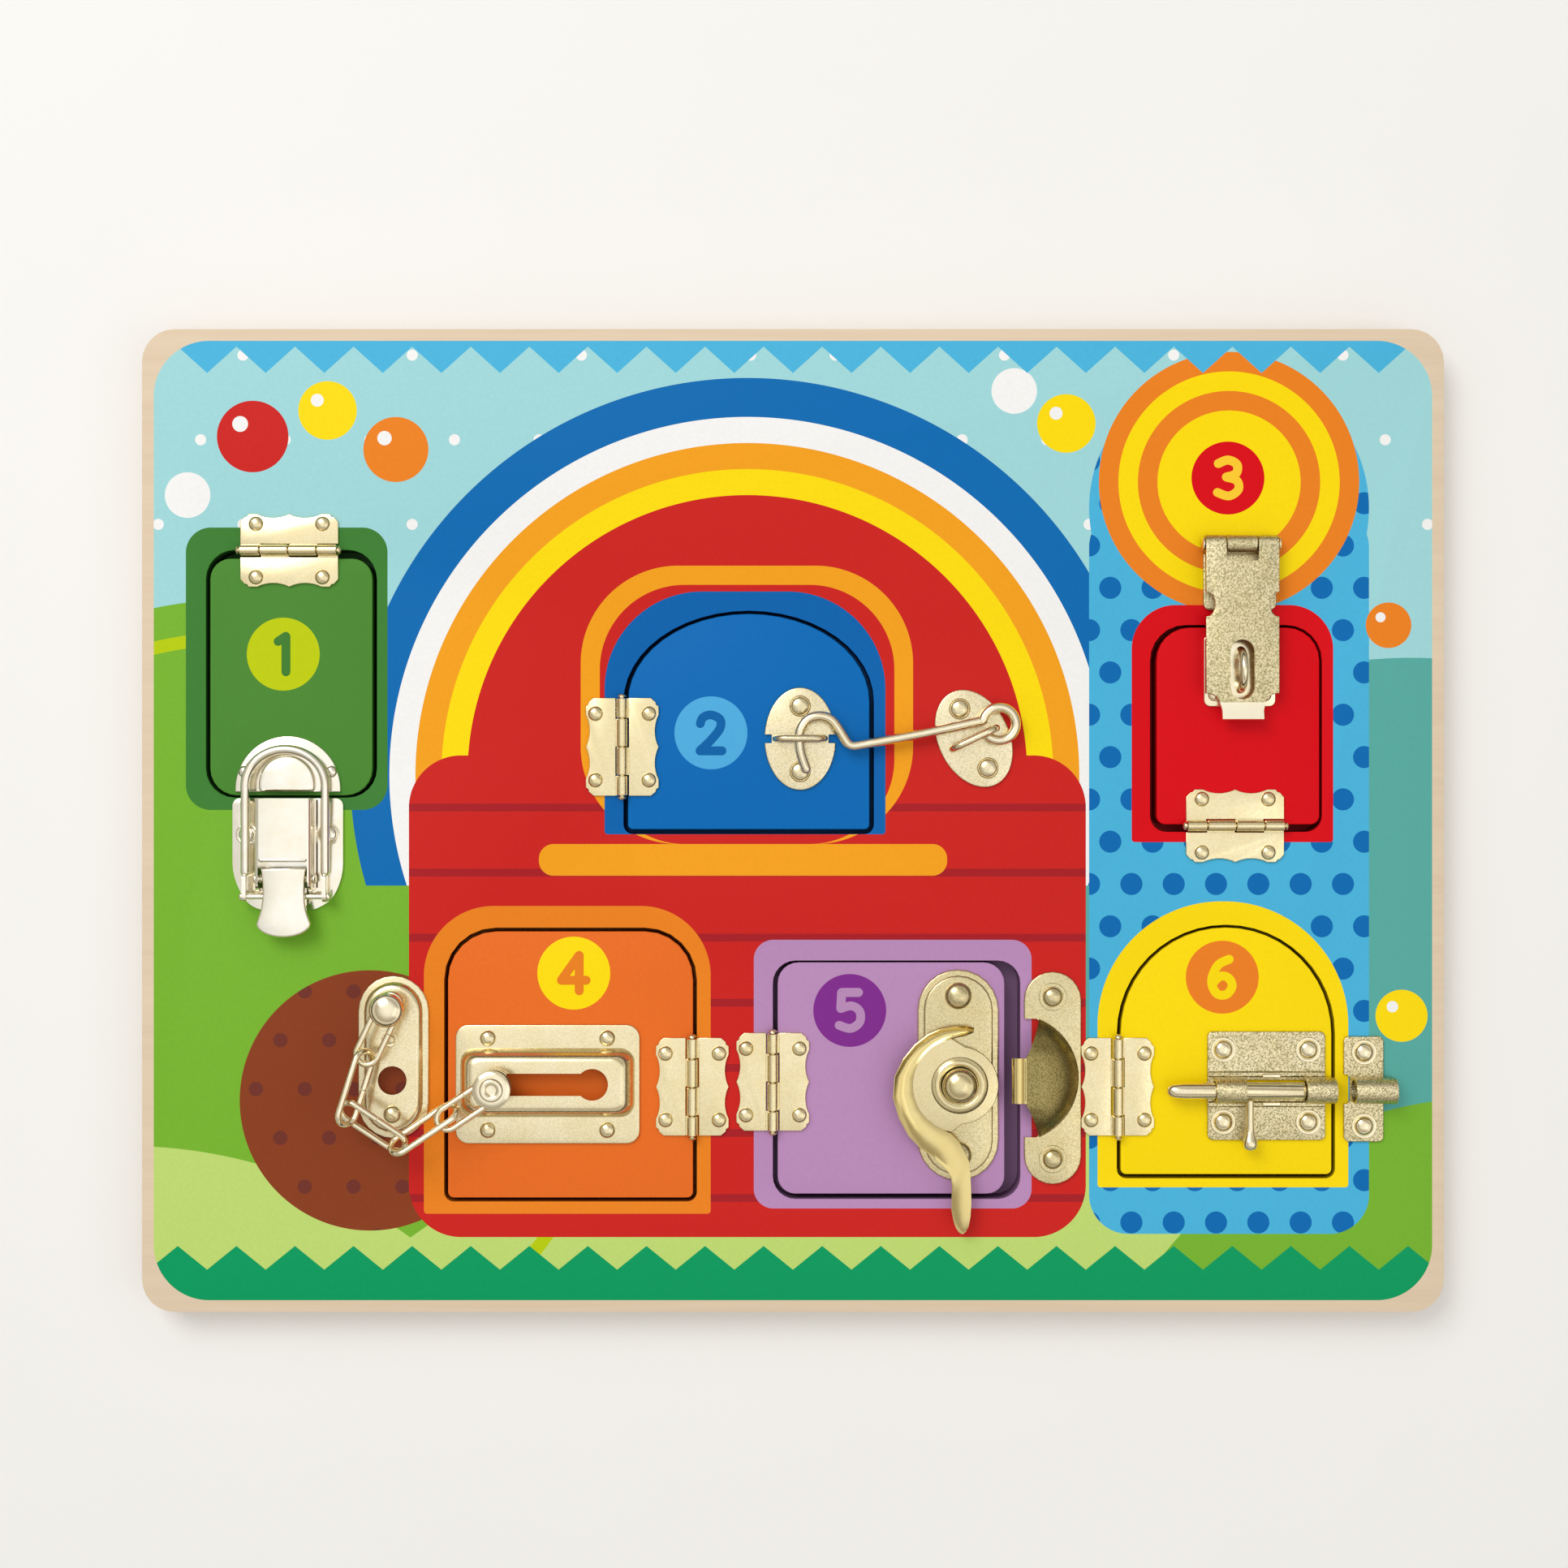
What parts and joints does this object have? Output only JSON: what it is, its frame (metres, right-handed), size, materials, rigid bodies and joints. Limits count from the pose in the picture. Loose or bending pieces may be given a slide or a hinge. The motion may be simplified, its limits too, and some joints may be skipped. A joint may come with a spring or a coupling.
{
  "type": "latch board",
  "caption": "Rectangular plywood play board with small hinged doors, each held shut by a different metal latch.",
  "frame": {"origin": "centre of the board's underside", "axes": "+X along the board's long side to the right, +Y up the picture, +Z out of the printed face"},
  "size_m": [0.4, 0.302, 0.0281],
  "materials": {
    "bare_plywood": "bare sanded plywood",
    "printed_face": "plywood with a printed and varnished face",
    "green_door": "plywood with a printed and varnished face",
    "blue_door": "plywood with a printed and varnished face",
    "red_door": "plywood with a printed and varnished face",
    "orange_door": "plywood with a printed and varnished face",
    "purple_door": "plywood with a printed and varnished face",
    "yellow_door": "plywood with a printed and varnished face",
    "gold_metal": "pressed steel with a pale brass plating, satin to bright"
  },
  "bodies": {
    "board": {"back_panel": "bare_plywood", "front_panel": "printed_face", "toggle_base": "gold_metal", "toggle_lever_pin": "gold_metal", "board_eye_plate": "gold_metal", "hasp_base": "gold_metal", "hasp_pin": "gold_metal", "anchor_plate": "gold_metal", "anchor_knob": "gold_metal", "cam_keeper": "gold_metal", "bolt_keeper": "gold_metal", "hinge_1_fixed_leaf": "gold_metal", "hinge_2_fixed_leaf": "gold_metal", "hinge_3_fixed_leaf": "gold_metal", "hinge_4_fixed_leaf": "gold_metal", "hinge_5_fixed_leaf": "gold_metal", "hinge_6_fixed_leaf": "gold_metal", "hinge_1_pin": "gold_metal", "hinge_2_pin": "gold_metal", "hinge_3_pin": "gold_metal", "hinge_4_pin": "gold_metal", "hinge_5_pin": "gold_metal", "hinge_6_pin": "gold_metal"},
    "door_1_body": {"door_1": "green_door", "hinge_1_door_leaf": "gold_metal", "catch_plate": "gold_metal"},
    "door_2_body": {"door_2": "blue_door", "hinge_2_door_leaf": "gold_metal", "door_eye_plate": "gold_metal"},
    "door_3_body": {"door_3": "red_door", "hinge_3_door_leaf": "gold_metal", "staple_plate": "gold_metal"},
    "door_4_body": {"door_4": "orange_door", "hinge_4_door_leaf": "gold_metal", "track_plate": "gold_metal"},
    "door_5_body": {"door_5": "purple_door", "hinge_5_door_leaf": "gold_metal", "cam_plate": "gold_metal", "cam_rivet": "gold_metal"},
    "door_6_body": {"door_6": "yellow_door", "hinge_6_door_leaf": "gold_metal", "bolt_plate": "gold_metal"},
    "toggle_lever_body": {"toggle_lever": "gold_metal", "toggle_bail_pin": "gold_metal"},
    "toggle_bail_body": {"toggle_bail": "gold_metal"},
    "hook_body": {"hook": "gold_metal"},
    "hasp_body": {"hasp_strap": "gold_metal"},
    "slider_body": {"chain_slider": "gold_metal"},
    "cam_body": {"cam_lever": "gold_metal"},
    "bolt_body": {"bolt": "gold_metal"},
    "bolt_handle_body": {"bolt_handle": "gold_metal"},
    "link_1_body": {"chain_link_1": "gold_metal"},
    "link_2_body": {"chain_link_2": "gold_metal"},
    "link_3_body": {"chain_link_3": "gold_metal"},
    "link_4_body": {"chain_link_4": "gold_metal"},
    "link_5_body": {"chain_link_5": "gold_metal"}
  },
  "joints": [
    {"name": "door_1_swing", "type": "hinge", "parent": "board", "child": "door_1_body", "pos_m": [-0.1546, 0.0829, 0.0138], "axis": [-1, 0, 0], "range_deg": [0, 100]},
    {"name": "toggle_lever_lift", "type": "hinge", "parent": "board", "child": "toggle_lever_body", "pos_m": [-0.155, -0.0177, 0.0166], "axis": [-1, 0, 0], "range_deg": [0, 110]},
    {"name": "toggle_bail_turn", "type": "hinge", "parent": "toggle_lever_body", "child": "toggle_bail_body", "pos_m": [-0.155, -0.0231, 0.0166], "axis": [1, 0, 0], "range_deg": [0, 290]},
    {"name": "door_2_swing", "type": "hinge", "parent": "board", "child": "door_2_body", "pos_m": [-0.0524, 0.0226, 0.0138], "axis": [0, -1, 0], "range_deg": [0, 150]},
    {"name": "hook_turn", "type": "hinge", "parent": "door_2_body", "child": "hook_body", "pos_m": [0.063, 0.0296, 0.0154], "axis": [0, 0, 1], "range_deg": [-100, 0]},
    {"name": "door_3_swing", "type": "hinge", "parent": "board", "child": "door_3_body", "pos_m": [0.1357, -0.0016, 0.0138], "axis": [1, 0, 0], "range_deg": [0, 98]},
    {"name": "hasp_swing", "type": "hinge", "parent": "board", "child": "hasp_body", "pos_m": [0.1371, 0.0847, 0.0149], "axis": [-1, 0, 0], "range_deg": [0, 176.4]},
    {"name": "door_4_swing", "type": "hinge", "parent": "board", "child": "door_4_body", "pos_m": [-0.0309, -0.0817, 0.0138], "axis": [0, 1, 0], "range_deg": [0, 140]},
    {"name": "chain_slide", "type": "slide", "parent": "door_4_body", "child": "slider_body", "axis": [1, 0, 0], "range_m": [0, 0.028]},
    {"name": "link_5_turn", "type": "hinge", "parent": "slider_body", "child": "link_5_body", "pos_m": [-0.0909, -0.081, 0.02274], "axis": [0, 0, 1], "range_deg": [-6.85, 0]},
    {"name": "link_4_turn", "type": "hinge", "parent": "link_5_body", "child": "link_4_body", "pos_m": [-0.10464, -0.08927, 0.0229], "axis": [0, 0, 1], "range_deg": [-20.63, 0]},
    {"name": "link_1_turn", "type": "hinge", "parent": "board", "child": "link_1_body", "pos_m": [-0.1226, -0.057, 0.02223], "axis": [-0.039, 0.003, 0.9992], "range_deg": [0, 39.74]},
    {"name": "link_2_turn", "type": "hinge", "parent": "link_1_body", "child": "link_2_body", "pos_m": [-0.12943, -0.07159, 0.0229], "axis": [0, 0, 1], "range_deg": [-2.06, 0]},
    {"name": "link_3_turn", "type": "hinge", "parent": "link_2_body", "child": "link_3_body", "pos_m": [-0.13421, -0.08824, 0.0231], "axis": [0, 0, 1], "range_deg": [-4.25, 0]},
    {"name": "door_5_swing", "type": "hinge", "parent": "board", "child": "door_5_body", "pos_m": [-0.0062, -0.0802, 0.0138], "axis": [0, 1, 0], "range_deg": [-150, 0]},
    {"name": "cam_turn", "type": "hinge", "parent": "door_5_body", "child": "cam_body", "pos_m": [0.0509, -0.0808, 0.016], "axis": [0, 0, 1], "range_deg": [-165, 0]},
    {"name": "door_6_swing", "type": "hinge", "parent": "board", "child": "door_6_body", "pos_m": [0.0997, -0.0817, 0.0138], "axis": [0, -1, 0], "range_deg": [0, 130]},
    {"name": "bolt_slide", "type": "slide", "parent": "door_6_body", "child": "bolt_body", "axis": [1, 0, 0], "range_m": [0, 0.0155]},
    {"name": "bolt_handle_turn", "type": "hinge", "parent": "bolt_body", "child": "bolt_handle_body", "pos_m": [0.1394, -0.0824, 0.0169], "axis": [1, 0, 0], "range_deg": [-60, 0]}
  ],
  "couplings": [
    {"joint": "toggle_lever_lift", "follows": "door_1_swing", "ratio": 1.1},
    {"joint": "toggle_bail_turn", "follows": "door_1_swing", "ratio": 2.9},
    {"joint": "hasp_swing", "follows": "door_3_swing", "ratio": 1.8},
    {"joint": "link_5_turn", "follows": "chain_slide", "rad_per_m": -4.2636},
    {"joint": "link_4_turn", "follows": "chain_slide", "rad_per_m": -12.841},
    {"joint": "link_1_turn", "follows": "chain_slide", "rad_per_m": 24.746},
    {"joint": "link_2_turn", "follows": "chain_slide", "rad_per_m": -1.2778},
    {"joint": "link_3_turn", "follows": "chain_slide", "rad_per_m": -2.6429}
  ]
}
